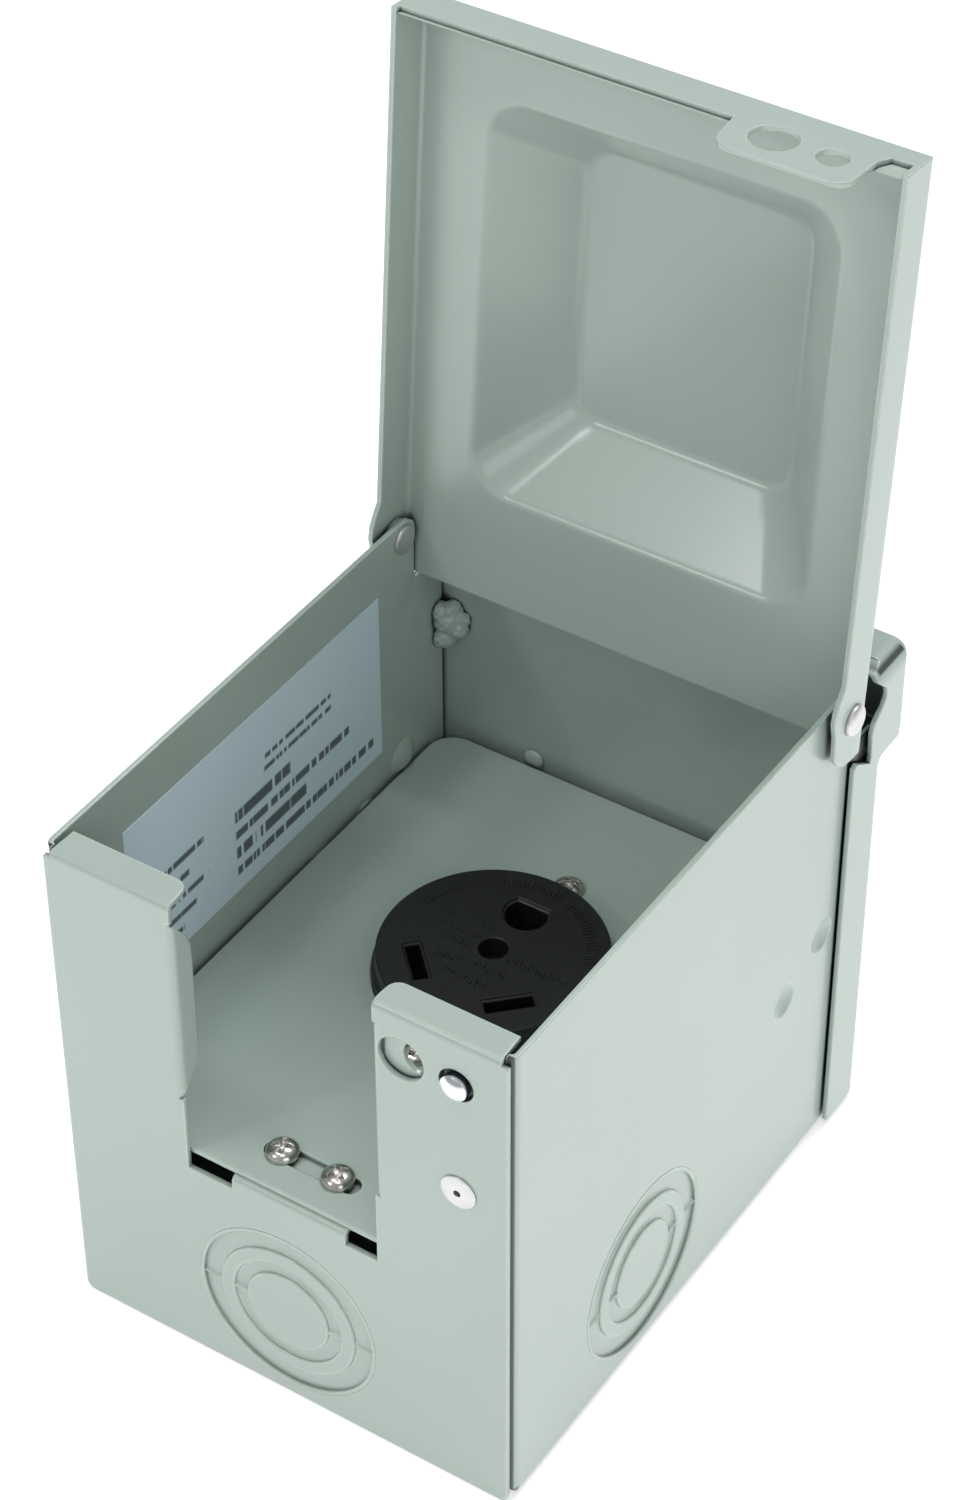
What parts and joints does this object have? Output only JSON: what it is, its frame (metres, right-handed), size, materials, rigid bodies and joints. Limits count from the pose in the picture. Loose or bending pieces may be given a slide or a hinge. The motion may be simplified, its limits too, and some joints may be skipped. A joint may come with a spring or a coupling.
{
  "type": "outdoor power outlet box",
  "caption": "Folded sheet-metal outdoor outlet box with a hinged embossed lid, cord notch, rain hood, knockouts, spring latch and a round three-pole receptacle on an inner deck.",
  "frame": {"origin": "outer face of the cord-notch end panel, on the middle plane of the box, at the outer face of the back plate", "axes": "+X to the latch side wall, +Y from the cord-notch end to the hinged hood end, +Z from the back plate to the lid. On a wall, +Z points away from the wall and +Y points up."},
  "size_m": [0.129, 0.1741, 0.2744],
  "materials": {
    "powder_coat": "satin grey-green powder coat",
    "nickel_screw": "nickel plated",
    "black_phenolic": "semi-gloss moulded black",
    "yoke_steel": "zinc plated",
    "contact_brass": "brushed brass",
    "contact_tinned": "tinned brass, silver coloured",
    "green_screw": "green dyed zinc",
    "rivet_metal": "satin",
    "button_steel": "bright zinc",
    "spring_steel": "bright spring steel",
    "label_film": "satin film",
    "lug_aluminium": "sawn"
  },
  "bodies": {
    "enclosure": {"shell_wrap": "powder_coat", "notch_end_panel": "powder_coat", "rain_hood_cap": "powder_coat", "knockout_outer_rings": "powder_coat", "knockout_middle_rings": "powder_coat", "knockout_inner_rings": "powder_coat", "knockout_slugs": "powder_coat", "corner_welds": "powder_coat", "receptacle_deck": "powder_coat", "deck_screws": "nickel_screw", "hood_rivets": "powder_coat", "receptacle_face": "black_phenolic", "receptacle_body": "black_phenolic", "receptacle_strap": "yoke_steel", "receptacle_mounting_screws": "nickel_screw", "receptacle_centre_screw": "nickel_screw", "line_contact": "contact_brass", "neutral_contact": "contact_tinned", "ground_contact": "contact_brass", "line_terminal_screw": "contact_brass", "neutral_terminal_screw": "nickel_screw", "ground_terminal_screw": "green_screw", "hinge_rivets": "rivet_metal", "latch_spring": "spring_steel", "latch_rivet": "rivet_metal", "rating_label": "label_film", "ground_lug": "lug_aluminium", "ground_lug_screw": "green_screw", "ground_wire_screw": "nickel_screw"},
    "lid": {"lid": "powder_coat"},
    "latch_button": {"latch_button": "button_steel"}
  },
  "joints": [
    {"name": "lid_hinge", "type": "hinge", "parent": "enclosure", "child": "lid", "pos_m": [0, 0.1367, 0.1348], "axis": [1, 0, 0], "range_deg": [0, 94.6]},
    {"name": "latch_press", "type": "slide", "parent": "enclosure", "child": "latch_button", "axis": [0, 1, 0], "range_m": [0, 0.0024], "stiffness_N_per_m": 900, "springref_m": -0.0004, "deforming": ["latch_spring"]}
  ]
}
